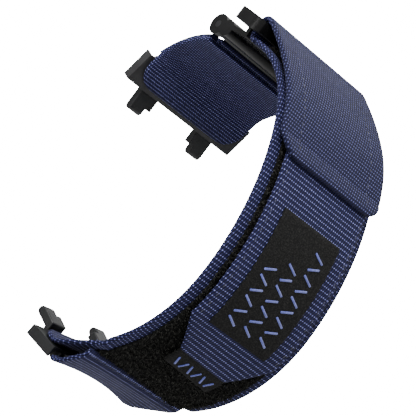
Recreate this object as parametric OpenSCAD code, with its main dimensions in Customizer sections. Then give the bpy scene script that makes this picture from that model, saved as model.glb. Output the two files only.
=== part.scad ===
// Woven fitness tracker band with hook-and-loop closure, quick-release hook and two snap-in connectors.
// The band stands on its edge: Z runs across the strap, the tracker would sit in the gap that faces +Y.

/* [Webbing] */
// Width of the long webbing and of the short strap
strap_w = 23.8; // [20:0.2:26]
// Thickness of the long webbing
webbing_t = 0.85; // [0.7:0.05:1]
// Thickness of each layer of the short strap
short_t = 0.85; // [0.7:0.05:1]
// Radius of the corners where a strap end lies on its connector
corner_r = 3.5; // [2:0.5:5]

/* [Hook-and-loop closure] */
// Width of the loop pile on the long webbing
pile_w = 20.2; // [16:0.2:21]
// Height of the loop pile
pile_t = 0.35; // [0.25:0.05:0.5]
// Width of the hook tapes under the tongue and the flap
tape_w = 17; // [12:0.5:18]
// Thickness of the hook tapes
tape_t = 0.25; // [0.2:0.05:0.4]
// Space between hook tape and loop pile
grip_gap = 0.12; // [0.1:0.02:0.2]
// Width of the tongue
tongue_w = 19.2; // [18:0.2:20]
// Thickness of the tongue
tongue_t = 0.75; // [0.6:0.05:0.9]
// Width of the tongue's cut end
tongue_end_w = 10.6; // [9:0.2:14]
// Length of the tongue's slanted corners
tongue_chamfer = 5.5; // [3:0.5:8]
// Radius of the flap's corners
flap_r = 4; // [2:0.5:6]

/* [Label and pull tab] */
// Width of the label
label_w = 13; // [10:0.5:14]
// Length of the label
label_l = 18.9; // [14:0.5:20]
// Thickness of the label
label_t = 0.3; // [0.2:0.05:0.5]
// Width of the pull tab
tab_w = 10.8; // [8:0.2:12]
// Length of the pull tab
tab_l = 2.9; // [2:0.1:4]
// Thickness of the pull tab
tab_t = 0.6; // [0.4:0.05:0.8]

/* [Ring and hook] */
// Clearance between the webbing's edges and the ring's ends
ring_gap = 0.4; // [0.3:0.1:0.8]
// Thickness of the ring's bars
bar_t = 1; // [0.8:0.1:1.2]
// Height of the ring
bar_h = 2.2; // [1.8:0.1:2.4]
// Distance between the centres of the ring's bars
bar_pitch = 5.7; // [5.4:0.1:6.2]
// Thickness of the hook plate's tongue
hook_t = 0.85; // [0.7:0.05:1]
// Diameter of the pin in the hook plate
hook_pin_d = 1.2; // [1:0.1:1.4]

/* [Connectors] */
// Width of the connector plates
plate_w = 25; // [24.2:0.2:26]
// Length of the connector plates
plate_l = 5.4; // [5:0.1:7]
// Thickness of the connector plates
plate_t = 0.5; // [0.4:0.05:0.7]
// Diameter of the connector pins
pin_d = 0.8; // [0.7:0.1:1]
// Width of the clip that carries the prongs
clip_w = 20.6; // [19:0.2:22]
// Thickness of the clip
clip_t = 1; // [0.8:0.1:1.2]
// Distance between the prongs' centres
prong_pitch = 13.5; // [11:0.5:15]
// Width of a prong
prong_w = 3.8; // [3:0.2:5]
// Length of a prong
prong_l = 3.9; // [3:0.1:5]
// Thickness of a prong
prong_t = 1.5; // [1.2:0.1:1.8]
// Inward slant of the prongs against the plate
prong_slant = 14; // [8:1:18]

/* [Fits] */
// Radial clearance of a strap eye on its pin
eye_fit = 0.05; // [0.02:0.01:0.08]
// Radial clearance of a pin in its cheeks
pin_fit = 0.02; // [0.01:0.01:0.03]
// Wall of a strap eye
eye_wall = 0.3; // [0.25:0.05:0.5]
// Space between parts that move against each other
play = 0.3; // [0.25:0.05:0.4]

/* [Hidden] */
$fn = 48;

// The origin lies under the middle of the band's bounding box.
origin = [2.615, -17.889];

// A path is [start, arcs, twist, yaw, twisted length]. A start is [x, y, heading], and an arc is
// [radius, angle], to the left where both are positive. An arc of radius 0 is a straight length.
// Twist turns the strap about its length and yaw turns it in its own plane, most at the start.
long_path = [[-22.6, -4.7, 259], [[80, 6.5], [4, 14.5], [23.4, 50], [37.7, 38.5], [19.5, 53]], 1.5, 20, 31];
short_path = [[29, -18.2, 67], [[15.8, 33], [17.3, 22]], 0, 0, 1];

function seg_len(a) = a[0] == 0 ? a[1] : a[0] * a[1] * PI / 180;
function turn(f, a, s) = a[0] == 0
    ? [f[0] + s * cos(f[2]), f[1] + s * sin(f[2]), f[2]]
    : let (h = f[2] + s / a[0] * 180 / PI)
      [f[0] + a[0] * (sin(h) - sin(f[2])), f[1] - a[0] * (cos(h) - cos(f[2])), h];
function along(s, f, arcs, i = 0) = let (l = seg_len(arcs[i]))
    s <= l || i == len(arcs) - 1 ? turn(f, arcs[i], s) : along(s - l, turn(f, arcs[i], l), arcs, i + 1);
function frame_at(path, s) = along(s, path[0], path[1]);
function path_len(path) = let (l = [for (a = path[1]) seg_len(a)]) l * [for (a = l) 1];
function ahead(path, s) = 1 - min(max(s / path[4], 0), 1);
function fade(path, s) = pow(ahead(path, s), 2);
function drift(path, s) = path[3] * PI / 180 * path[4] / 3 * pow(ahead(path, s), 3);

// A point at length s of a path, n to its outer side and w across it
function strap_pt(path, s, n, w) =
    let (f = frame_at(path, s), a = path[2] * fade(path, s), b = path[3] * fade(path, s))
    let (out = n * cos(a) + w * sin(a) * cos(b), fore = w * sin(b))
    [f[0] + fore * cos(f[2]) + out * sin(f[2]), f[1] + fore * sin(f[2]) - out * cos(f[2]),
     w * cos(a) * cos(b) - n * sin(a) + drift(path, s)];

// A strip along a path, where low, high and half give its two faces and half its width at length s.
// All strips bend at the same multiples of step, so layers that touch have the same faces.
module strip(path, s0, s1, low, high, half, step = 1) {
    s = [s0, for (i = [floor(s0 / step + 0.1) + 1:ceil(s1 / step - 0.1) - 1]) i * step, s1];
    k = len(s) - 1;
    points = [for (x = s) each [
        strap_pt(path, x, low(x), -half(x)), strap_pt(path, x, high(x), -half(x)),
        strap_pt(path, x, high(x), half(x)), strap_pt(path, x, low(x), half(x))]];
    sides = [for (i = [0:k - 1], j = [0:3]) let (a = 4 * i + j, b = 4 * i + (j + 1) % 4)
        each [[a, b, b + 4], [a, b + 4, a + 4]]];
    polyhedron(points, concat([[3, 2, 1], [3, 1, 0]], sides, [[4 * k, 4 * k + 1, 4 * k + 2],
        [4 * k, 4 * k + 2, 4 * k + 3]]));
}

// Half the width of a strip that starts at s0 with rounded corners, and of one with slanted ones
function round_half(s, s0, w, r) = w / 2 - r + sqrt(max(0, r * r - pow(max(0, s0 + r - s), 2)));
function slant_half(s, s0, w, w0, l) = min(w / 2, w0 / 2 + (w - w0) / 2 * (s - s0) / l);

// Heights above the inner face of the long webbing
pile_top = webbing_t + pile_t;
tape_low = pile_top + grip_gap;
tongue_low = tape_low + tape_t;
tongue_top = tongue_low + tongue_t;

// Places along the long webbing
long_l = path_len(long_path);
strap_start = 1.7;
patch_end = 8.5;
patch_rise = 1.2;
pile_start = patch_end + 0.2;
tongue_start = 18.5;
label_start = 24.5;
flap_start = 49.6;
flap_end = long_l - 1.8;
flap_t = webbing_t;
lip_l = 3;
lift_start = long_l - 13.4;

// The flap lies on the tongue at its lip, on the pile behind it, and climbs onto the ring.
function flap_low(s) = tongue_low + tongue_t * pow(max(0, (flap_start + lip_l - s) / lip_l), 0.5) * 1.1
    + 2.9 * pow(max(0, (s - lift_start) / 14.8), 2.5);

// Ring and hook are placed in the frame at the end of the long webbing, [along, outward].
ring_pivot = [-0.4, webbing_t + 1.8];
ring_lean = 5;
slot_w = strap_w + 2 * ring_gap;
ring_end_t = 1.1;
ring_corner = 1.8;
ring_w = slot_w + 2 * ring_end_t;
mid_z = ring_w / 2;
hook_w = slot_w - 1;
hook_pin_at = [9.5, 0];
hook_eye_r = hook_pin_d / 2 + eye_fit + eye_wall;
hook_in_r = hook_eye_r + play;
hook_out_r = hook_in_r + 0.55;
hook_cheek_t = 1.2;
hook_hem_w = hook_w - 2 * hook_cheek_t - 2 * ring_gap;

// Connector pins, [x, y, heading towards the tracker]
upper_pin_at = [27.15, -3.46, 135];
lower_pin_at = [-23.72, -3.62, 51];
pin_r = pin_d / 2;
eye_r = pin_r + eye_fit + eye_wall;
cheek_r = eye_r + 0.1;
cheek_t = 1.2;
plate_back = 0.6;
hem_w = clip_w - 2 * cheek_t - 2 * ring_gap;
cover_t = 0.7;
wall_t = 0.45;
wall_h = 1.8;

module home() translate([-origin[0], -origin[1], mid_z]) children();

// Local axes: X along the path, Y to its outer side, Z across the strap
module outward(f) translate([f[0], f[1], 0]) rotate([0, 0, f[2]]) mirror([0, 1, 0]) children();
module at_ring() outward(frame_at(long_path, long_l)) children();
module upper() outward(upper_pin_at) children();
module lower() translate([lower_pin_at[0], lower_pin_at[1], drift(long_path, 0)]) rotate([0, 0, lower_pin_at[2]])
    rotate([-long_path[2], 0, 0]) rotate([0, -long_path[3], 0]) children();

// One stitch, l long, along the strap or across it
module stitch_at(path, s, n, w, l, across = false) {
    f = frame_at(path, s);
    a = path[2] * fade(path, s);
    p = strap_pt(path, s, n, w);
    translate(p) rotate([0, 0, f[2]]) rotate([a, 0, 0])
        translate(across ? [-0.12, -0.1, -l / 2] : [-l / 2, -0.1, -0.12])
            cube(across ? [0.24, 0.12, l] : [l, 0.12, 0.24]);
}

// ---- long webbing ----
module band_webbing() color([0.17, 0.19, 0.38]) home()
    strip(long_path, strap_start, long_l - 0.9, function(s) 0, function(s) webbing_t, function(s) strap_w / 2);

module band_loop_pile() color([0.08, 0.08, 0.08]) home()
    strip(long_path, pile_start, long_l - 2, function(s) webbing_t, function(s) pile_top,
        function(s) pile_w / 2);

// The outer layer stands off the inner one behind the pin and is sewn down at its end.
function patch_low(s) = webbing_t + patch_rise * min(1, (patch_end - s) / 2.5);

module lower_fold_patch() color([0.2, 0.22, 0.42]) home()
    strip(long_path, strap_start + 1, patch_end, function(s) patch_low(s),
        function(s) patch_low(s) + webbing_t, function(s) strap_w / 2, step = 0.5);

module lower_strap_eye() color([0.17, 0.19, 0.38]) home() lower() difference() {
    union() {
        cylinder(h = hem_w, r = eye_r, center = true);
        translate([-2.4, -eye_r, -hem_w / 2]) cube([2.4, eye_wall, hem_w]);
    }
    cylinder(h = strap_w, r = pin_r + eye_fit, center = true);
}

module patch_stitching() color([0.1, 0.11, 0.25]) home()
    for (w = [-9.6:2.4:9.6], s = [patch_end - 0.5, patch_end - 4.5])
        stitch_at(long_path, s, patch_low(s) + webbing_t, w, 1.6, across = true);

// The webbing turns up through the ring's slot and back over its bar.
fold_r = webbing_t + 0.6;
fold_reach = webbing_t + 0.3;
fold_h = 2 * webbing_t + 3.3;
function fold_path() = let (f = frame_at(long_path, long_l), c = cos(f[2]), s = sin(f[2]))
    [[f[0] + (fold_reach - fold_r - 0.4) * c, f[1] + (fold_reach - fold_r - 0.4) * s, f[2]],
     [[0, 0.4], [-fold_r, -90], [0, fold_h - 2 * fold_r], [-fold_r, -125], [0, 0.45]], 0, 0, 1];

module ring_fold() color([0.17, 0.19, 0.38]) home()
    strip(fold_path(), 0, path_len(fold_path()), function(s) 0, function(s) webbing_t,
        function(s) strap_w / 2, step = 0.3);

// ---- flap ----
function flap_half(s) = round_half(s, flap_start, strap_w, flap_r);

module flap_webbing() color([0.2, 0.22, 0.42]) home()
    strip(long_path, flap_start, flap_end, function(s) flap_low(s), function(s) flap_low(s) + flap_t,
        function(s) flap_half(s), step = 0.5);

module flap_hook_patch() color([0.06, 0.06, 0.06]) home()
    strip(long_path, flap_start + lip_l + 2.4, lift_start, function(s) tape_low, function(s) tongue_low,
        function(s) tape_w / 2, step = 0.5);

module flap_stitching() color([0.1, 0.11, 0.25]) home()
    for (w = [-8.2, 8.2], s = [flap_start + 2:1.5:flap_end - 2])
        stitch_at(long_path, s, flap_low(s) + flap_t, w, 0.9);

module tongue_root() color([0.17, 0.19, 0.38]) home()
    strip(long_path, flap_start + 0.1, flap_start + lip_l + 2, function(s) tape_low,
        function(s) tape_low + min(tongue_t, flap_low(s) - tape_low), function(s) tongue_w / 2, step = 0.5);

// ---- tongue ----
tongue_stop = flap_start - 0.15;
function tongue_half(s) = slant_half(s, tongue_start, tongue_w, tongue_end_w, tongue_chamfer);

module tongue_webbing() color([0.17, 0.19, 0.38]) home()
    strip(long_path, tongue_start, tongue_stop, function(s) tongue_low, function(s) tongue_top,
        function(s) tongue_half(s));

module tongue_hook_tape() color([0.06, 0.06, 0.06]) home()
    strip(long_path, tongue_start + 1, tongue_stop - 0.6, function(s) tape_low, function(s) tongue_low,
        function(s) min(tape_w / 2, tongue_half(s) - 0.6));

module tongue_stitching() color([0.1, 0.11, 0.25]) home()
    for (w = [-1, 1], s = [label_start + 1:1.6:tongue_stop - 1])
        stitch_at(long_path, s, tongue_top, w * (tongue_w / 2 - 0.9), 0.9);

module label_patch() color([0.09, 0.09, 0.09]) home()
    strip(long_path, label_start, label_start + label_l, function(s) tongue_top,
        function(s) tongue_top + label_t, function(s) label_w / 2);

// Three rows of plain bars, the next row longer than the last
module label_marks() color([0.45, 0.5, 0.8]) home()
    for (row = [0:2], i = [0:[5, 6, 8][row]])
        stitch_at(long_path, label_start + 2 + 1.72 * i, tongue_top + label_t, 3.7 - 3.6 * row, 2.1, across = true);

module pull_tab() color([0.09, 0.09, 0.09]) home()
    strip(long_path, tongue_start - 0.1 - tab_l, tongue_start - 0.1, function(s) tongue_top - tab_t,
        function(s) tongue_top, function(s) tab_w / 2);

module pull_tab_marks() color([0.45, 0.5, 0.8]) home()
    for (i = [0:5])
        stitch_at(long_path, tongue_start - 0.1 - tab_l / 2, tongue_top, 1.56 * i - 3.9, 1.6);

// ---- ring and hook ----
module ring_frame() at_ring() translate([ring_pivot[0], ring_pivot[1], 0]) rotate([0, 0, ring_lean])
    children();

// A bar of the ring: a slab with round edges
module ring_bar(l) {
    r = bar_t / 2;
    translate([-r, -bar_h / 2 + r, -l / 2]) cube([bar_t, bar_h - bar_t, l]);
    for (y = [-1, 1]) translate([0, y * (bar_h / 2 - r), 0]) cylinder(h = l, r = r, center = true);
}

module loop_ring() color([0.05, 0.05, 0.05]) home() ring_frame() intersection() {
    union() {
        ring_bar(ring_w);
        translate([bar_pitch, 0, 0]) ring_bar(ring_w);
        for (z = [-1, 1]) translate([0, -bar_h / 2, z * (slot_w + ring_end_t) / 2 - ring_end_t / 2])
            cube([bar_pitch, bar_h, ring_end_t]);
    }
    translate([bar_pitch / 2, 0, 0]) rotate([90, 0, 0]) linear_extrude(bar_h + 1, center = true)
        offset(r = ring_corner) square([bar_pitch + bar_t, ring_w] - 2 * [ring_corner, ring_corner], center = true);
}

// The hook plate's tongue passes under the ring's far bar and its tip turns up inside the ring.
hook_tip = 1.6;
hook_top = 0.95;
module hook_profile() {
    difference() {
        union() {
            translate([hook_tip + 0.3, hook_top - hook_t]) square([hook_pin_at[0] - hook_tip, hook_t]);
            translate([hook_tip, hook_top - hook_t + 0.5]) square([hook_t, 1.9]);
            translate([hook_tip + 0.5, hook_top - hook_t + 0.5]) circle(r = 0.5);
            translate([hook_tip + hook_t / 2, hook_top - hook_t + 2.4]) circle(r = hook_t / 2);
            translate(hook_pin_at) circle(r = hook_out_r);
            translate([hook_pin_at[0] - 2.5, hook_pin_at[1] + 0.1]) circle(r = hook_out_r - 0.4);
        }
        translate(hook_pin_at) circle(r = hook_in_r);
        translate(hook_pin_at) polygon(5 * [[0, 0], for (a = [-125, -60, 0]) [cos(a), sin(a)]]);
    }
}

module hook_plate() color([0.05, 0.05, 0.05]) home() at_ring() difference() {
    union() {
        linear_extrude(hook_w, center = true) hook_profile();
        for (z = [-1, 1])
            translate([hook_pin_at[0], hook_pin_at[1], z * (hook_w - hook_cheek_t) / 2])
                cylinder(h = hook_cheek_t, r = hook_out_r, center = true);
    }
    translate([hook_pin_at[0], hook_pin_at[1], 0])
        cylinder(h = hook_w + 1, d = hook_pin_d + 2 * pin_fit, center = true);
}

module hook_pin() color([0.25, 0.25, 0.26]) home() at_ring()
    translate([hook_pin_at[0], hook_pin_at[1], 0]) cylinder(h = hook_w, d = hook_pin_d, center = true);

// ---- short strap ----
short_l = path_len(short_path);
strap_in = 2.7;
strap_out = short_l - 1.6;

// The outer layer ends in an eye on the hook's pin and in one on the connector's pin.
module short_strap_cover() color([0.17, 0.19, 0.38]) home() difference() {
    union() {
        strip(short_path, strap_in, strap_out, function(s) -short_t, function(s) 0,
            function(s) strap_w / 2);
        strip(short_path, 1.5, strap_in + 0.2, function(s) -short_t, function(s) s < 2.2 ? 0.5 : 0,
            function(s) hook_hem_w / 2, step = 0.4);
        strip(short_path, strap_out - 0.2, short_l, function(s) -short_t, function(s) 0,
            function(s) hem_w / 2);
        at_ring() translate([hook_pin_at[0], hook_pin_at[1], 0])
            cylinder(h = hook_hem_w, r = hook_eye_r, center = true);
        upper() cylinder(h = hem_w, r = eye_r, center = true);
    }
    at_ring() translate([hook_pin_at[0], hook_pin_at[1], 0])
        cylinder(h = strap_w, d = hook_pin_d + 2 * eye_fit, center = true);
    upper() cylinder(h = strap_w, r = pin_r + eye_fit, center = true);
}

module short_strap_lining() color([0.15, 0.17, 0.35]) home()
    strip(short_path, strap_in, strap_out, function(s) -2 * short_t, function(s) -short_t,
        function(s) strap_w / 2);

module short_strap_stitching() color([0.1, 0.11, 0.25]) home()
    for (w = [-10.4, 10.4], s = [strap_in + 1:1.5:strap_out - 1])
        stitch_at(short_path, s, 0, w, 0.9);

// ---- connectors, in axes with X towards the tracker and Y outward from the pin ----
plate_y = -cheek_r;
plate_end = plate_l - plate_back;

module plate() difference() {
    union() {
        translate([-plate_back, plate_y - plate_t, -plate_w / 2]) cube([plate_l, plate_t, plate_w]);
        for (z = [-1, 1]) translate([-plate_back, plate_y - plate_t, z * (plate_w - wall_t) / 2 - wall_t / 2])
            cube([plate_l, wall_h, wall_t]);
        for (z = [-1, 1]) translate([0, 0, z * (clip_w - cheek_t) / 2]) {
            cylinder(h = cheek_t, r = cheek_r, center = true);
            translate([-cheek_r, plate_y, -cheek_t / 2]) cube([2 * cheek_r, cheek_r, cheek_t]);
        }
    }
    cylinder(h = clip_w + 1, r = pin_r + pin_fit, center = true);
}

module prong(side) difference() {
    r = prong_t / 2;
    notch = [1.5, 1.1];
    union() {
        translate([-1, -r, -prong_w / 2]) cube([prong_l + 1 - r, prong_t, prong_w]);
        translate([prong_l - r, 0, 0]) cylinder(h = prong_w, r = r, center = true);
    }
    translate([prong_l - notch[0], -prong_t, side > 0 ? -prong_w / 2 - 1 : prong_w / 2 - notch[1]])
        cube([notch[0] + 1, 2 * prong_t, notch[1] + 1]);
}

// The prongs stand drop mm further in than the clip and hang on it by a short root.
module clip(drop) difference() {
    prong_y = plate_y + clip_t / 2 - drop;
    union() {
        translate([cheek_r + 0.2, plate_y, -clip_w / 2]) cube([plate_end - cheek_r - 0.2, clip_t, clip_w]);
        for (z = [-1, 1]) translate([plate_end, 0, z * prong_pitch / 2]) {
            translate([0, prong_y, 0]) rotate([0, 0, -prong_slant]) prong(z);
            translate([0, prong_y, -prong_w / 2]) cube([0.9, drop + clip_t / 2, prong_w]);
        }
    }
    translate([plate_end - plate_l, plate_y - plate_l, -clip_w / 2]) cube([plate_l, plate_l, clip_w]);
}

module pin() cylinder(h = clip_w, r = pin_r, center = true);

// The end of the strap that lies on the plate's inner face
cover_l = plate_end - 0.8;
module cover_tab() translate([-plate_back, plate_y - plate_t - cover_t, 0]) rotate([-90, 0, 0])
    linear_extrude(cover_t) union() {
        translate([0, -strap_w / 2]) square([cover_l - corner_r, strap_w]);
        translate([0, -strap_w / 2 + corner_r]) square([cover_l, strap_w - 2 * corner_r]);
        for (z = [-1, 1]) translate([cover_l - corner_r, z * (strap_w / 2 - corner_r)])
            intersection() {
                circle(r = corner_r);
                translate([-min(corner_r, cover_l - corner_r), -corner_r]) square(2 * corner_r);
            }
    }

module upper_plate() color([0.2, 0.2, 0.21]) home() upper() plate();
module upper_clip() color([0.13, 0.13, 0.13]) home() upper() clip(0);
module upper_pin() color([0.5, 0.5, 0.52]) home() upper() pin();
module upper_cover_tab() color([0.15, 0.17, 0.35]) home() upper() cover_tab();
module lower_plate() color([0.2, 0.2, 0.21]) home() lower() plate();
module lower_clip() color([0.13, 0.13, 0.13]) home() lower() clip(1.5);
module lower_pin() color([0.5, 0.5, 0.52]) home() lower() pin();
module lower_cover_tab() color([0.17, 0.19, 0.38]) home() lower() cover_tab();

band_webbing();
band_loop_pile();
lower_fold_patch();
lower_strap_eye();
patch_stitching();
ring_fold();
flap_webbing();
flap_hook_patch();
flap_stitching();
tongue_root();
tongue_webbing();
tongue_hook_tape();
tongue_stitching();
label_patch();
label_marks();
pull_tab();
pull_tab_marks();
loop_ring();
hook_plate();
hook_pin();
short_strap_cover();
short_strap_lining();
short_strap_stitching();
upper_plate();
upper_clip();
upper_pin();
upper_cover_tab();
lower_plate();
lower_clip();
lower_pin();
lower_cover_tab();
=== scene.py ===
import bpy
import bmesh
import math
import random
from mathutils import Matrix, Vector


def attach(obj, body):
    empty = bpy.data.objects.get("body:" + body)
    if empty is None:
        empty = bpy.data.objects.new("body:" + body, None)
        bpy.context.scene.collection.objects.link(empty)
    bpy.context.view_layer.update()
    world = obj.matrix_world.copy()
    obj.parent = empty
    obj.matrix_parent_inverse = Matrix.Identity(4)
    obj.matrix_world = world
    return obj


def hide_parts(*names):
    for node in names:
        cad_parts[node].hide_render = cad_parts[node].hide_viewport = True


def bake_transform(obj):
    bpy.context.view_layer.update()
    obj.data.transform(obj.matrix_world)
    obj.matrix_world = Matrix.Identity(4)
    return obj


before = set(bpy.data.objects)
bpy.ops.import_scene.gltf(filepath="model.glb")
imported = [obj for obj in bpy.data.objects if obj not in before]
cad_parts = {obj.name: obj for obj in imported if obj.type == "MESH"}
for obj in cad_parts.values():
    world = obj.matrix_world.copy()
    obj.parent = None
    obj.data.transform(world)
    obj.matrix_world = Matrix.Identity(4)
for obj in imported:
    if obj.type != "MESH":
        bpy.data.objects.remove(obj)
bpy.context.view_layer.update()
chance = random.Random(4)
mm = 0.001

# ---------- shader helpers ----------


class Wire:
    # an output socket that takes + - * / and comparisons with numbers or other wires
    def __init__(self, tree, socket=None):
        self.tree, self.socket = tree, socket

    def node(self, kind, settings=None, inputs=None, out=0):
        made = self.tree.nodes.new(kind)
        for key, value in (settings or {}).items():
            if key == "stops":
                ramp = made.color_ramp
                while len(ramp.elements) < len(value):
                    ramp.elements.new(0.5)
                for stop, (at, colour) in zip(ramp.elements, value):
                    stop.position, stop.color = at, (*colour, 1)
            else:
                setattr(made, key, value)
        for key, value in (inputs or {}).items():
            if isinstance(value, Wire):
                self.tree.links.new(value.socket, made.inputs[key])
            else:
                made.inputs[key].default_value = value
        return Wire(self.tree, made.outputs[out])

    def math(self, operation, *values):
        return self.node("ShaderNodeMath", {"operation": operation}, dict(enumerate(values)))

    def __add__(self, other): return self.math("ADD", self, other)
    def __radd__(self, other): return self.math("ADD", other, self)
    def __sub__(self, other): return self.math("SUBTRACT", self, other)
    def __rsub__(self, other): return self.math("SUBTRACT", other, self)
    def __mul__(self, other): return self.math("MULTIPLY", self, other)
    def __rmul__(self, other): return self.math("MULTIPLY", other, self)
    def __truediv__(self, other): return self.math("DIVIDE", self, other)
    def __rtruediv__(self, other): return self.math("DIVIDE", other, self)
    def __pow__(self, other): return self.math("POWER", self, other)
    def __mod__(self, other): return self.math("FLOORED_MODULO", self, other)
    def __lt__(self, other): return self.math("LESS_THAN", self, other)
    def __gt__(self, other): return self.math("GREATER_THAN", self, other)

    def distance(self, other): return self.math("ABSOLUTE", self - other)

    def ease(self, low, high):
        # 0 below low, 1 above high
        return self.node("ShaderNodeMapRange", {"interpolation_type": "SMOOTHSTEP"},
                         {"Value": self, "From Min": low, "From Max": high})

    def mix(self, colourA, colourB):
        # colourA where the wire is 0, colourB where it is 1
        return self.node("ShaderNodeMix", {"data_type": "RGBA"},
                         {0: self, 6: rgba(colourA), 7: rgba(colourB)}, out=2)


def rgba(colour):
    return colour if isinstance(colour, Wire) else (*colour, 1)


def startMaterial(name, constants):
    material = bpy.data.materials.new(name)
    material.use_nodes = True
    tree = material.node_tree
    shader = tree.nodes["Principled BSDF"]
    for socket, value in constants.items():
        shader.inputs[socket].default_value = value
    return material, Wire(tree), shader


def feed(shader, socket, wire):
    wire.tree.links.new(wire.socket, shader.inputs[socket])


weave = {"ribPitch": 0.72, "columnPitch": 0.46, "slant": 0.35, "dark": (0.002, 0.0022, 0.012),
         "middle": (0.012, 0.0135, 0.066), "bright": (0.25, 0.265, 0.60), "line": 0.12, "bump": 1.0}


def weaveMaterial(name, look):
    # woven nylon: bright weft threads across, dark slanted warp threads between them
    material, w, shader = startMaterial(name, {"Roughness": 0.75, "Sheen Weight": 0.03,
                                               "Sheen Roughness": 0.4, "Specular IOR Level": 0.15})
    uv = w.node("ShaderNodeUVMap", {"uv_map": "weave"})
    split = w.node("ShaderNodeSeparateXYZ", None, {0: uv})
    along, across = split, Wire(w.tree, split.socket.node.outputs[1])
    shake = w.node("ShaderNodeTexNoise", None, {"Vector": uv, "Scale": 0.7, "Detail": 2.0})
    fine = w.node("ShaderNodeTexNoise", None, {"Vector": uv, "Scale": 4.0, "Detail": 2.0})
    rib = (along + shake * 0.12) / look["ribPitch"]
    ribAt = rib % 1.0
    row = rib.math("FLOOR", rib)
    shifted = across + ribAt * look["slant"] * look["columnPitch"] + shake * 0.1
    column = shifted / look["columnPitch"] + row * 0.5
    columnAt = column % 1.0
    fromLine = ribAt.distance(0.5)
    fromMiddle = columnAt.distance(0.5)
    line = 1.0 - fromLine.ease(look["line"] * 0.5, look["line"] * 1.2)
    dash = 1.0 - fromMiddle.ease(0.14, 0.36)
    thread = 1.0 - fromMiddle.ease(0.16, 0.36)
    wear = fine.ease(0.35, 0.7)
    base = (thread * (0.55 + wear * 0.45)).mix(look["dark"], look["middle"])
    colour = (line * dash * (0.45 + wear * 0.55)).mix(base, look["bright"])
    feed(shader, "Base Color", colour)
    height = (1.0 - fromLine * 0.9) * 0.5 + thread * 0.35 + line * dash * 0.3 + fine * 0.15
    bump = w.node("ShaderNodeBump", None, {"Strength": look["bump"], "Distance": 0.00012, "Height": height})
    feed(shader, "Normal", bump)
    return material


def fuzzMaterial(name, colour, tip, roughness, scale, bumpDepth, sheen=0.3):
    # short matted fibres, or the fine grain of a coated label
    material, w, shader = startMaterial(name, {"Roughness": roughness, "Sheen Weight": sheen,
                                               "Sheen Roughness": 0.6, "Specular IOR Level": 0.12})
    place = w.node("ShaderNodeTexCoord", out=3)
    grain = w.node("ShaderNodeTexNoise", None, {"Vector": place, "Scale": scale, "Detail": 4.0})
    feed(shader, "Base Color", grain.ease(0.42, 0.72).mix(colour, tip))
    feed(shader, "Normal", w.node("ShaderNodeBump", None,
                                  {"Strength": 1.0, "Distance": bumpDepth, "Height": grain}))
    return material


def mouldedMaterial(name, colour, roughness, grainDepth=0.00001, gloss=0.3):
    # moulded surface: faint grain and uneven gloss
    material, w, shader = startMaterial(name, {"Specular IOR Level": gloss})
    place = w.node("ShaderNodeTexCoord", out=3)
    broad = w.node("ShaderNodeTexNoise", None, {"Vector": place, "Scale": 260.0, "Detail": 3.0})
    grain = w.node("ShaderNodeTexNoise", None, {"Vector": place, "Scale": 6000.0, "Detail": 2.0})
    feed(shader, "Base Color", broad.ease(0.3, 0.75).mix(colour, [c * 1.35 + 0.004 for c in colour]))
    feed(shader, "Roughness", roughness + (broad - 0.5) * 0.22 + (grain - 0.5) * 0.1)
    feed(shader, "Normal", w.node("ShaderNodeBump", None,
                                  {"Strength": 0.6, "Distance": grainDepth, "Height": grain}))
    return material


webbingLook = weaveMaterial("webbing", weave)
flapLook = weaveMaterial("flapWebbing", {**weave, "ribPitch": 0.56, "columnPitch": 0.5, "line": 0.17,
                                         "bright": (0.13, 0.14, 0.33), "middle": (0.009, 0.010, 0.044)})
# the short strap's lining: its own finer weave, with its colours brightened as painted light to offset the
# shade on the strap's inner face
innerPaintedLightLook = weaveMaterial("innerWebbingPaintedLight", {**weave, "ribPitch": 0.52, "columnPitch": 0.42, "line": 0.15,
                                           "bright": (0.34, 0.36, 0.78), "middle": (0.018, 0.02, 0.09)})
pileLook = fuzzMaterial("loopPile", (0.0015, 0.0015, 0.0015), (0.012, 0.012, 0.011), 0.95, 2600.0, 0.0003,
                        0.0)
hairLook = fuzzMaterial("pileLoops", (0.0015, 0.0015, 0.0015), (0.08, 0.08, 0.072), 0.8, 3000.0, 0.00005,
                        0.0)
labelLook = fuzzMaterial("label", (0.0035, 0.0035, 0.0035), (0.018, 0.018, 0.017), 0.85, 5200.0, 0.00006, 0.0)
marksLook = fuzzMaterial("embroidery", (0.06, 0.075, 0.30), (0.11, 0.13, 0.42), 0.6, 4000.0, 0.00005)
threadLook = fuzzMaterial("stitchThread", (0.006, 0.007, 0.03), (0.02, 0.022, 0.07), 0.7, 4000.0, 0.00004)
glossLook = mouldedMaterial("glossBlack", (0.002, 0.002, 0.0022), 0.24, grainDepth=0.000002, gloss=0.28)
clipLook = mouldedMaterial("darkGrey", (0.006, 0.0065, 0.007), 0.42)
plateLook = mouldedMaterial("plateGrey", (0.022, 0.022, 0.023), 0.4)
pinLook = mouldedMaterial("pinSteel", (0.01, 0.01, 0.011), 0.4)

# ---------- the lines that the straps follow, in mm ----------

place = {"origin": (2.615, -17.889), "middle": 13.4}
longLine = {"start": (-22.6, -4.7, 259), "arcs": [(80, 6.5), (4, 14.5), (23.4, 50), (37.7, 38.5), (19.5, 53)],
            "twist": 1.5, "yaw": 20, "turned": 31}
shortLine = {"start": (29, -18.2, 67), "arcs": [(15.8, 33), (17.3, 22)], "twist": 0, "yaw": 0, "turned": 1}


def lineLength(line):
    return sum(abs(radius * math.radians(angle)) if radius else angle for radius, angle in line["arcs"])


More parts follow.
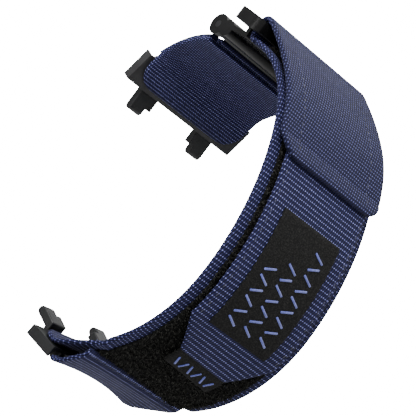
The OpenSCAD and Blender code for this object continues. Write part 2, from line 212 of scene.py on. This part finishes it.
def headingAt(line, s):
    x, y, heading = line["start"]
    last = len(line["arcs"]) - 1
    for i, (radius, angle) in enumerate(line["arcs"]):
        length = abs(radius * math.radians(angle)) if radius else angle
        run = s if i == last else min(s, length)
        if radius:
            new = heading + math.degrees(run / radius)
            x += radius * (math.sin(math.radians(new)) - math.sin(math.radians(heading)))
            y -= radius * (math.cos(math.radians(new)) - math.cos(math.radians(heading)))
            heading = new
        else:
            x += run * math.cos(math.radians(heading))
            y += run * math.sin(math.radians(heading))
        s -= length
        if s <= 0:
            break
    return x, y, heading


def onLine(line, s, n, w):
    # s along the strap, n towards its outer side, w across it
    x, y, heading = headingAt(line, s)
    h, ahead = math.radians(heading), 1 - min(max(s / line["turned"], 0), 1)
    a, b = math.radians(line["twist"]) * ahead ** 2, math.radians(line["yaw"]) * ahead ** 2
    out, fore = n * math.cos(a) + w * math.sin(a) * math.cos(b), w * math.sin(b)
    drift = math.radians(line["yaw"]) * line["turned"] / 3 * ahead ** 3
    return Vector((x + fore * math.cos(h) + out * math.sin(h), y + fore * math.sin(h) - out * math.cos(h),
                   w * math.cos(a) * math.cos(b) - n * math.sin(a) + drift))


def toRow(p):
    # from the lines' own millimetres to the part's frame in metres
    return Vector((p.x - place["origin"][0], p.y - place["origin"][1], p.z + place["middle"])) * mm


def axes(x, y, heading, z=0, twist=0, yaw=0):
    # a pin's axes: X towards the tracker, Y outward, Z across
    return (Matrix.Translation((x, y, z)) @ Matrix.Rotation(math.radians(heading), 4, "Z")
            @ Matrix.Rotation(math.radians(twist), 4, "X") @ Matrix.Rotation(math.radians(yaw), 4, "Y"))


longL, shortL = lineLength(longLine), lineLength(shortLine)
endX, endY, endHeading = headingAt(longLine, longL)
startDrift = math.radians(longLine["yaw"]) * longLine["turned"] / 3
lowerAxes = axes(-23.72, -3.62, 51, startDrift, -longLine["twist"], -longLine["yaw"])
upperAxes = axes(27.15, -3.46, 135) @ Matrix.Diagonal((1, -1, 1, 1))
ringAxes = axes(endX, endY, endHeading) @ Matrix.Diagonal((1, -1, 1, 1))


def bend(startAt, endAt, s, length, pull=1.0):
    # a smooth bridge between two places on straps; each is (point, direction)
    t = min(max(s / length, 0), 1)
    (p, d), (q, e) = startAt, endAt
    h = t * t * (3 - 2 * t)
    return (p * (1 - h) + q * h + d * pull * length * t * (1 - t) ** 2 - e * length * t * t * (1 - t))


# ---------- ribbons ----------

layers = {"webbing": 0.85, "pile": 0.35, "gap": 0.12, "tape": 0.25, "tongue": 0.75, "width": 23.8}
halfWidth = layers["width"] / 2
pileTop = layers["webbing"] + layers["pile"]
tongueLow = pileTop + layers["gap"] + layers["tape"]
tongueTop = tongueLow + layers["tongue"]


def finish(name, bm, material, body=None, smooth=True):
    mesh = bpy.data.meshes.new(name)
    bm.to_mesh(mesh)
    bm.free()
    for face in mesh.polygons:
        face.use_smooth = smooth
    piece = bpy.data.objects.new(name, mesh)
    bpy.context.scene.collection.objects.link(piece)
    piece.data.materials.append(material)
    if body:
        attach(piece, body)
    return piece


def ribbon(name, material, at, s0, s1, low, high, half, step=0.16, columns=26, edge=0.42, ends=(0.35, 0.35),
           rib=0.035, pitch=0.46, body=None):
    # a closed strip with rolled edges: at(s, n, w) places a point, low, high and half give its section at s
    rows = max(4, int((s1 - s0) / step))
    arc = 5
    section = []
    for side in (1, -1):  # +1: outer face and the edge after it, -1: inner face and its edge
        section += [(side, -1 + 2 * i / columns, 0) for i in range(columns)]
        section += [(side, 1, i / arc) for i in range(arc)]
    count = len(section)
    bm = bmesh.new()
    bmesh.ops.create_grid(bm, x_segments=rows, y_segments=count, size=0.5)
    layer = bm.loops.layers.uv.new("weave")
    marks = {}
    for v in bm.verts:
        i, j = round((v.co.x + 0.5) * rows), round((v.co.y + 0.5) * count)
        s = s0 + (s1 - s0) * i / rows
        side, a, around = section[j % count]
        lo, hi, h = low(s), high(s), half(s)
        thick = (hi - lo) / 2
        tip = min([1] + [max(0, run / end) for run, end in zip((s - s0, s1 - s), ends) if end])
        thick *= max(0.02, math.sqrt(1 - (1 - tip) ** 2))
        r = min(edge, h * 0.5)
        ripple = rib * abs(math.sin(math.pi * s / pitch))
        flat = h - r
        if around:
            turn = math.pi * around
            w, n = flat + (r + ripple) * math.sin(turn), thick * math.cos(turn)
            v2 = flat + r * turn
        else:
            w, n, v2 = a * flat, thick + ripple * 0.4, a * flat
        if side < 0:
            w, n, v2 = -w, -n, 2 * flat + math.pi * r + v2
        marks[v] = (s, v2)
        v.co = toRow(at(s, (lo + hi) / 2 + n, w))
    for face in bm.faces:
        spots = [marks[loop.vert] for loop in face.loops]
        high2 = max(p[1] for p in spots)
        for loop, p in zip(face.loops, spots):
            v2 = p[1]
            if high2 - v2 > h:  # the face that closes the section
                v2 += 4 * flat + 2 * math.pi * r
            loop[layer].uv = (p[0], v2)
    bmesh.ops.remove_doubles(bm, verts=bm.verts, dist=1e-7)
    bmesh.ops.holes_fill(bm, edges=bm.edges, sides=0)
    bmesh.ops.recalc_face_normals(bm, faces=bm.faces)
    return finish(name, bm, material, body)


def roundEnd(s, s0, w, r):
    return w / 2 - r + math.sqrt(max(0, r * r - max(0, s0 + r - s) ** 2))


def onLong(s, n, w): return onLine(longLine, s, n, w)
def onShort(s, n, w): return onLine(shortLine, s, n, w)


print("straps")
band = {"from": 8.4, "to": longL - 0.9, "patchEnd": 8.5, "tongueStart": 18.5, "flapStart": 49.6,
        "tabTip": 2.4, "corner": 3.5, "tab": 0.3}
tabEnd = band["tab"] - band["tabTip"] - 0.4

bandStrip = ribbon("bandStrap", webbingLook, onLong, band["from"], band["to"], lambda s: 0,
                   lambda s: layers["webbing"], lambda s: halfWidth, ends=(0, 0.3), body="band")
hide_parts("band_webbing", "lower_strap_eye")


# where the inner layer leaves the connector's plate, in the pin's axes, and where it meets the line
lowerEnd = {"x": 1.2, "y": -2.05, "join": 8.0, "pull": 0.25, "overlap": 8.8, "bendTo": 3.0, "thin": 0.14}


def lowerInner(s, n, w):
    # from the tab on the connector plate into the long strap
    joinAt, tab = lowerEnd["join"], band["tab"]
    if s >= joinAt:
        return onLong(s, n, w)
    nearTab = lowerAxes @ Vector((max(0, tab - s) + lowerEnd["x"], lowerEnd["y"] + n, w))
    if s <= tab:
        return nearTab
    aheadTab = lowerAxes.to_3x3() @ Vector((-1, 0, 0))
    joined = onLong(joinAt, n, w)
    return bend((nearTab, aheadTab), (joined, (onLong(joinAt + 0.05, n, w) - joined) * 20), s - tab,
                joinAt - tab, lowerEnd["pull"])


lowerTab = ribbon("lowerStrapEnd", webbingLook, lowerInner, tabEnd, lowerEnd["overlap"], lambda s: 0.02,
                  lambda s: layers["webbing"] - lowerEnd["thin"] * min(1, max(0, (2.5 - s) / 2)),
                  lambda s: roundEnd(s, tabEnd, layers["width"], band["corner"]), ends=(0.4, 0))
toRow(lowerInner(band["tab"] - 0.1, 0, 0))
toRow(lowerInner(lowerEnd["bendTo"], 0, 0))
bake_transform(lowerTab)
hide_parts("lower_cover_tab")


# x and y are where it starts, in the pin's axes
patch = {"start": -0.1, "join": 7.6, "x": -0.7, "y": -0.3, "outerStart": -0.7, "rise": 1.15, "sewn": 0.15,
         "dip": 0.5, "closer": 0.9, "shorter": 0.18, "pull": 0.5, "hem": 0.25}


def patchLow(s):
    # the outer layer stands off the inner one behind the pin and is sewn down at its end
    toEnd = min(1, max(patch["sewn"], (band["patchEnd"] + 0.4 - s) / 2))
    return layers["webbing"] + patch["rise"] * toEnd - patch["dip"] * max(0, 1 - s / 2.5)


def patchHigh(s):
    hem = math.exp(-((s - band["patchEnd"] + 0.7) / 0.6) ** 2)
    return patchLow(s) + layers["webbing"] + patch["hem"] * hem


def onPatch(s, n, w):
    # from outside the pin onto the long strap; shorter and closer to the pin on the label's side
    k, joinAt, start = (w + halfWidth) / layers["width"], patch["join"], patch["start"]
    s *= 1 - patch["shorter"] * k
    joined = onLong(max(s, joinAt), n - patch["closer"] * (1 - k), w)
    if s >= joinAt:
        return joined
    nearPin = lowerAxes @ Vector((patch["x"], patch["y"] + n - patchLow(start), w))
    nearPin = nearPin.lerp(onLong(patch["outerStart"], n, w), 1 - k)
    return bend((nearPin, lowerAxes.to_3x3() @ Vector((-1, 0, 0))),
                (joined, (onLong(joinAt + 0.05, 0, w) - onLong(joinAt, 0, w)) * 20), s - start,
                joinAt - start, patch["pull"])


foldPatch = ribbon("foldPatch", webbingLook, onPatch, patch["start"], band["patchEnd"], patchLow, patchHigh,
                   lambda s: halfWidth, ends=(0.5, 0.7), body="band")
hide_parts("lower_fold_patch")

pileBed = ribbon("pileBed", pileLook, onLong, band["patchEnd"] - 2.2, longL - 2,
                 lambda s: layers["webbing"] - 0.05, lambda s: pileTop, lambda s: 10.1, step=0.5,
                 ends=(0.3, 0.3), rib=0, edge=0.2, body="band")
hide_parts("band_loop_pile")

# flap with its thick lip, and the tongue under it
lip = {"length": 3.0, "lift": longL - 13.4, "end": longL - 0.5, "corner": 4.0, "roll": 0.2, "climb": 3.45,
       "climbLength": 14.8, "rows": (-8.2, 8.2)}


def flapLow(s):
    over = max(0, (band["flapStart"] + lip["length"] - s) / lip["length"]) ** 0.5
    climb = max(0, (s - lip["lift"]) / lip["climbLength"]) ** 2.5
    return tongueLow + layers["tongue"] * over * 1.1 + lip["climb"] * climb


def flapHigh(s):
    hem = math.exp(-((s - band["flapStart"] - 0.8) / 0.8) ** 2)
    return flapLow(s) + layers["webbing"] + lip["roll"] * hem * 0.5


flapStrip = ribbon("flapStrap", flapLook, onLong, band["flapStart"], lip["end"], flapLow, flapHigh,
                   lambda s: roundEnd(s, band["flapStart"], layers["width"], lip["corner"]), ends=(0.8, 1.1),
                   columns=30)
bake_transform(flapStrip)
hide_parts("flap_webbing")

tongueEnd = {"width": 19.2, "tip": 10.6, "slant": 5.5}


def tongueHalf(s):
    return min(tongueEnd["width"] / 2, tongueEnd["tip"] / 2 + (tongueEnd["width"] - tongueEnd["tip"]) / 2
               * (s - band["tongueStart"]) / tongueEnd["slant"])


tongueStrip = ribbon("tongueStrap", webbingLook, onLong, band["tongueStart"], band["flapStart"] + 4.6,
                     lambda s: tongueLow, lambda s: tongueTop if s < band["flapStart"] - 0.1 else
                     min(tongueTop, flapLow(s) - 0.02), tongueHalf, ends=(0.35, 0.3), columns=24)
toRow(onLong(band["flapStart"] - 1.6, tongueTop, 0))
toRow(onLong(band["flapStart"] + 0.5, tongueTop, 0))
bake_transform(tongueStrip)
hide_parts("tongue_webbing", "tongue_root")

hookTape = ribbon("tongueTape", pileLook, onLong, band["tongueStart"] + 0.8, band["flapStart"] - 0.75,
                  lambda s: pileTop + layers["gap"], lambda s: tongueLow + 0.05,
                  lambda s: min(8.6, tongueHalf(s) - 0.5), step=0.5, rib=0, edge=0.12, body="tongue")
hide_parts("tongue_hook_tape")
flapTape = ribbon("flapTape", pileLook, onLong, band["flapStart"] + 5.4, lip["lift"],
                  lambda s: pileTop + layers["gap"], lambda s: tongueLow + 0.05, lambda s: 8.5, step=0.5,
                  rib=0, edge=0.12, body="flap")
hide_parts("flap_hook_patch")

# the fold round the ring's bar
fold = {"reach": 1.15, "height": 4.85, "radius": layers["webbing"] + 0.6}
foldStart = ringAxes @ Vector((fold["reach"] - fold["radius"] - 0.4, 0, 0))
foldLine = {"start": (foldStart.x, foldStart.y, endHeading), "arcs": [(0, 0.4), (-fold["radius"], -90),
            (0, fold["height"] - 2 * fold["radius"]), (-fold["radius"], -110), (0, 1.6)],
            "twist": 0, "yaw": 0, "turned": 1}


foldLength = lineLength(foldLine)
ringFold = ribbon("ringFold", webbingLook, lambda s, n, w: onLine(foldLine, s, n, w), 0, foldLength,
                  lambda s: 0, lambda s: layers["webbing"], lambda s: halfWidth, ends=(0.2, 0.3), body="band")
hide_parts("ring_fold")

# short strap: the outer layer ends on the pins, the inner one runs onto the connector's plate
short = {"in": 2.7, "lining": 2.1, "out": shortL - 1.6, "tabTip": 4.0, "outerHalf": 10.9, "width": 23.3}


def shortHalf(s):
    # the ends are narrower where they pass between the cheeks
    hem = 9.4 if s < short["in"] else 8.7
    k = min(1, max(0, (s - short["in"] + 0.15) / 0.3)) * min(1, max(0, (short["out"] + 0.15 - s) / 0.3))
    return hem + (short["outerHalf"] - hem) * k


outerStrip = ribbon("shortStrapOuter", webbingLook, onShort, 1.5, shortL, lambda s: -layers["webbing"],
                    lambda s: 0.0, shortHalf, ends=(0.3, 0.2), body="short_strap")
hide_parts("short_strap_cover")


# where the lining reaches the connector's plate, in the pin's axes, and where it leaves the line
upperEnd = {"x": 0.1, "y": layers["webbing"] - 1.35, "join": shortL - 5.5, "tab": shortL + 0.9, "thin": 0.14}
upperTip = upperEnd["tab"] + short["tabTip"] - upperEnd["x"]


def upperInner(s, n, w):
    joinAt, tab = upperEnd["join"], upperEnd["tab"]
    if s <= joinAt:
        return onShort(s, n, w)
    nearTab = upperAxes @ Vector((max(0, s - tab) + upperEnd["x"], upperEnd["y"] + n, w))
    if s >= tab:
        return nearTab
    joined = onShort(joinAt, n, w)
    return bend((joined, (joined - onShort(joinAt - 0.05, n, w)) * 20),
                (nearTab, upperAxes.to_3x3() @ Vector((1, 0, 0))), s - joinAt, tab - joinAt)


def liningLow(s):
    return -2 * layers["webbing"] + upperEnd["thin"] * min(1, max(0, (s - shortL + 2) / 2))


innerStrip = ribbon("shortStrapInner", innerPaintedLightLook, upperInner, short["lining"], upperTip, liningLow,
                    lambda s: -layers["webbing"] - 0.02,
                    lambda s: roundEnd(-s, -upperTip, short["width"], band["corner"]), ends=(0.4, 0.4))
toRow(upperInner(shortL - 2.0, -1.2, 0))
toRow(upperInner(shortL + 0.7, -1.2, 0))
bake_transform(innerStrip)
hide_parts("short_strap_lining", "upper_cover_tab")

# ---------- label, tab and threads ----------
print("label and stitches")


def beads(name, material, body, nodes, spots, at, bars=False):
    # short threads: each spot is (s, n, w, length, width, angle across the strap)
    bm = bmesh.new()
    for s, n, w, length, width, angle in spots:
        middle, ahead = toRow(at(s, n, w)), toRow(at(s + 0.1, n, w))
        side, up = toRow(at(s, n, w + 0.1)), toRow(at(s, n + 0.1, w))
        turn = Matrix([(p - middle).normalized() for p in (ahead, side, up)]).transposed()
        move = Matrix.Translation(middle) @ turn.to_4x4() @ Matrix.Rotation(math.radians(angle), 4, "Z")
        if bars:
            lying = Matrix.Diagonal((1, 1, 0.7, 1)) @ Matrix.Rotation(math.radians(90), 4, "Y")
            made = bmesh.ops.create_cone(bm, segments=8, radius1=width / 2 * mm, radius2=width / 2 * mm,
                                         depth=(length - width * 0.4) * mm, cap_ends=True,
                                         matrix=move @ lying)
            caps = [f for f in {f for v in made["verts"] for f in v.link_faces} if len(f.verts) == 8]
            bmesh.ops.inset_region(bm, faces=caps, thickness=width * 0.2 * mm, depth=width * 0.2 * mm)
        else:
            made = bmesh.ops.create_uvsphere(bm, u_segments=8, v_segments=5, radius=0.5 * mm)
            bmesh.ops.transform(bm, verts=made["verts"],
                                matrix=move @ Matrix.Diagonal((length, width, width * 0.7, 1)))
    bmesh.ops.recalc_face_normals(bm, faces=bm.faces)
    piece = finish(name, bm, material, body)
    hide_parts(*nodes)
    return piece


labelSize = {"start": 24.5, "length": 18.9, "half": 6.5, "thick": 0.3, "rows": (6, 7, 9), "pitch": 1.72,
             "rowAt": (3.7, 0.1, -3.5), "bar": 2.3, "thread": 0.36, "slant": 24}
labelTop = tongueTop + labelSize["thick"]
label = ribbon("labelPatch", labelLook, onLong, labelSize["start"], labelSize["start"] + labelSize["length"],
               lambda s: tongueTop - 0.1, lambda s: labelTop, lambda s: labelSize["half"],
               step=0.4, rib=0, edge=0.12, ends=(0.15, 0.15), body="tongue")
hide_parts("label_patch")

# plain slanted bars stand in for the rows of lettering
spots = []
for row, many in enumerate(labelSize["rows"]):
    for i in range(many):
        slant = labelSize["slant"] if i % 2 else -labelSize["slant"]
        spots.append((labelSize["start"] + 2.0 + labelSize["pitch"] * i, labelTop + 0.02,
                      labelSize["rowAt"][row], labelSize["bar"], labelSize["thread"], 90 + slant))
beads("labelMarks", marksLook, "tongue", ["label_marks"], spots, onLong, bars=True)

tabSize = {"from": 15.5, "to": 19.2, "half": 5.4, "thick": 0.6}
tab = ribbon("pullTab", labelLook, onLong, tabSize["from"], tabSize["to"],
             lambda s: tongueTop - tabSize["thick"],
             lambda s: tongueTop - 0.12 * min(1, max(0, (s - 18.2) / 0.4)), lambda s: tabSize["half"],
             step=0.3, rib=0, edge=0.2, ends=(0.3, 0.2))
toRow(onLong(18.9, tongueTop, 0))
toRow(onLong(18.0, tongueTop, 0))
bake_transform(tab)
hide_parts("pull_tab")
spots = [(16.95, tongueTop + 0.02, -3.9 + 1.56 * i, 1.7, 0.34, 24 if i % 2 else -24) for i in range(6)]
beads("pullTabMarks", marksLook, "pull_tab", ["pull_tab_marks"], spots, onLong, bars=True)

flapRow = [(s / 10, flapHigh(s / 10), w, 0.62, 0.3, 0) for w in lip["rows"]
           for s in range(int(band["flapStart"] * 10) + 20, int(longL * 10) - 40, 13)]
beads("flapThreads", threadLook, "flap", ["flap_stitching"], flapRow, onLong)
tongueRow = [(s / 10, tongueTop, w, 0.7, 0.24, 0) for w in (-8.75, 8.75) for s in range(252, 480, 15)]
beads("tongueThreads", threadLook, "tongue", ["tongue_stitching"], tongueRow, onLong)
patchRow = [(band["patchEnd"] - 0.5, patchLow(band["patchEnd"] - 0.5) + layers["webbing"] + 0.08, w / 10,
             0.75, 0.3, 0) for w in range(-108, 110, 6)]
beads("patchThreads", threadLook, "band", ["patch_stitching"], patchRow, onPatch)
shortRow = [(s / 10, 0.0, w, 0.7, 0.26, 0) for w in (-10.4, 10.4)
            for s in range(int(short["in"] * 10) + 8, int(short["out"] * 10) - 6, 15)]
beads("shortThreads", threadLook, "short_strap", ["short_strap_stitching"], shortRow, onShort)

# loops of the pile, where it is open to view
print("pile loops")
pile = {"perMm2": 11, "height": 0.42, "thread": 0.075, "spread": 0.35}
tufts = []
areas = [(band["patchEnd"] - 1.8, band["tongueStart"] + 5.5, -10.0, 10.0)]
areas += [(band["tongueStart"] + 5, longL - 2.5, w0, w1) for w0, w1 in ((9.2, 10.25), (-10.25, -9.2))]
for s0, s1, w0, w1 in areas:
    for i in range(int((s1 - s0) * (w1 - w0) * pile["perMm2"])):
        s, w = chance.uniform(s0, s1), chance.uniform(w0, w1)
        ds, dw = chance.uniform(-1, 1) * pile["spread"], chance.uniform(-1, 1) * pile["spread"]
        top = pileTop + pile["height"] * chance.uniform(0.5, 1)
        if s < band["tongueStart"] or abs(w) > tongueHalf(s) - 0.3:
            tufts.append([(s, pileTop - 0.1, w), (s + ds * 0.1, top, w + dw * 0.2),
                          (s + ds, top - 0.06, w + dw), (s + ds * 1.3, pileTop - 0.1, w + dw * 1.2)])
bm = bmesh.new()
for first in range(0, len(tufts), 60):
    batch = bmesh.new()
    for line in tufts[first:first + 60]:
        made = bmesh.ops.create_grid(batch, x_segments=3, y_segments=3, size=1.5)  # wrapped into a thin tube
        for v in made["verts"]:
            a, b, c = line[round(v.co.x + 1.5)]
            turn = math.radians(120) * round(v.co.y + 1.5)
            radius = pile["thread"] / 2
            v.co = toRow(onLong(a + radius * math.cos(turn), b, c + radius * math.sin(turn)))
    bmesh.ops.remove_doubles(batch, verts=batch.verts, dist=1e-7)
    held = bpy.data.meshes.new("tufts")
    batch.to_mesh(held)
    batch.free()
    bm.from_mesh(held)
    bpy.data.meshes.remove(held)
loops = finish("pileLoops", bm, hairLook, "band")

# ---------- hard parts ----------
print("ring, hook and connectors")


def hardPiece(name, node, body, material, width, segments=3):
    # the moulded part with its edges rounded
    bm = bmesh.new()
    bm.from_mesh(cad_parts[node].data)
    bmesh.ops.remove_doubles(bm, verts=bm.verts, dist=2e-6)
    bmesh.ops.dissolve_limit(bm, angle_limit=math.radians(1.5), verts=bm.verts, edges=bm.edges)
    sharp = [e for e in bm.edges if len(e.link_faces) == 2 and e.calc_face_angle(0) > math.radians(32)]
    bmesh.ops.bevel(bm, geom=sharp, offset=width * mm, segments=segments, profile=0.5, affect="EDGES",
                    clamp_overlap=True, material=-1)
    bmesh.ops.recalc_face_normals(bm, faces=bm.faces)
    piece = finish(name, bm, material, body, smooth=False)
    for face in piece.data.polygons:
        face.use_smooth = face.area < 0.35e-6
    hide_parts(node)
    return piece


hardPiece("loopRing", "loop_ring", "ring", glossLook, 0.28, 4)
hardPiece("hookPlate", "hook_plate", "hook", glossLook, 0.2)
hardPiece("upperPlate", "upper_plate", "upper_connector", plateLook, 0.14)
hardPiece("upperClip", "upper_clip", "upper_connector", clipLook, 0.18)
hardPiece("lowerPlate", "lower_plate", "lower_connector", clipLook, 0.14)
hardPiece("lowerClip", "lower_clip", "lower_connector", clipLook, 0.18)
for node in ("hook_pin", "upper_pin", "lower_pin"):
    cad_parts[node].data.materials.clear()
    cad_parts[node].data.materials.append(pinLook)

# ---------- camera, floor and light ----------
view = {"elevation": 37.6, "azimuth": -30.4, "roll": 53.13, "lens": 208, "distance": 0.370,
        "target": (4.914, -14.342, 0)}
el, az, roll = (math.radians(view[k]) for k in ("elevation", "azimuth", "roll"))
towards = Vector((math.sin(az) * math.cos(el), -math.cos(az) * math.cos(el), math.sin(el)))
level = Vector((math.cos(az), math.sin(az), 0))
upright = towards.cross(level)
right = level * math.cos(roll) - upright * math.sin(roll)
up = level * math.sin(roll) + upright * math.cos(roll)
target = toRow(Vector(view["target"]))
cameraData = bpy.data.cameras.new("camera")
cameraData.lens, cameraData.sensor_width, cameraData.clip_start = view["lens"], 36, 0.01
camera = bpy.data.objects.new("camera", cameraData)
bpy.context.scene.collection.objects.link(camera)
spot = target + towards * view["distance"]
camera.matrix_world = Matrix(((right.x, up.x, towards.x, spot.x), (right.y, up.y, towards.y, spot.y),
                              (right.z, up.z, towards.z, spot.z), (0, 0, 0, 1)))
bpy.context.scene.camera = camera

bm = bmesh.new()
bmesh.ops.create_grid(bm, x_segments=1, y_segments=1, size=1.2)
# pale, and white to the camera
floorLook, w, floorShader = startMaterial("paleFloor", {"Base Color": (0.9, 0.9, 0.9, 1), "Roughness": 0.9})
lit = w.node("ShaderNodeAddShader", None, {0: Wire(w.tree, floorShader.outputs[0]),
                                           1: w.node("ShaderNodeEmission", None, {"Strength": 25.0})})
seen = w.node("ShaderNodeLightPath")
both = w.node("ShaderNodeMixShader", None, {0: seen, 1: Wire(w.tree, floorShader.outputs[0]), 2: lit})
w.tree.links.new(both.socket, w.tree.nodes["Material Output"].inputs["Surface"])
finish("floor", bm, floorLook)

world = bpy.data.worlds.new("studio")
bpy.context.scene.world = world
world.use_nodes = True
world.node_tree.nodes["Background"].inputs["Color"].default_value = (1, 1, 1, 1)
world.node_tree.nodes["Background"].inputs["Strength"].default_value = 0.5


def softLight(name, offset, size, power):
    data = bpy.data.lights.new(name, "AREA")
    data.shape, data.size, data.energy = "DISK", size, power
    lamp = bpy.data.objects.new(name, data)
    bpy.context.scene.collection.objects.link(lamp)
    lamp.location = target + offset
    lamp.rotation_euler = (-offset).to_track_quat("-Z", "Y").to_euler()


softLight("key", (up * 0.75 + towards * 0.55 + right * 0.1).normalized() * 0.5, 0.25, 4.0)
softLight("fill", (towards * 0.8 - right * 0.6 + Vector((0, 0, 0.5))).normalized() * 0.6, 0.4, 1.5)

print("done")
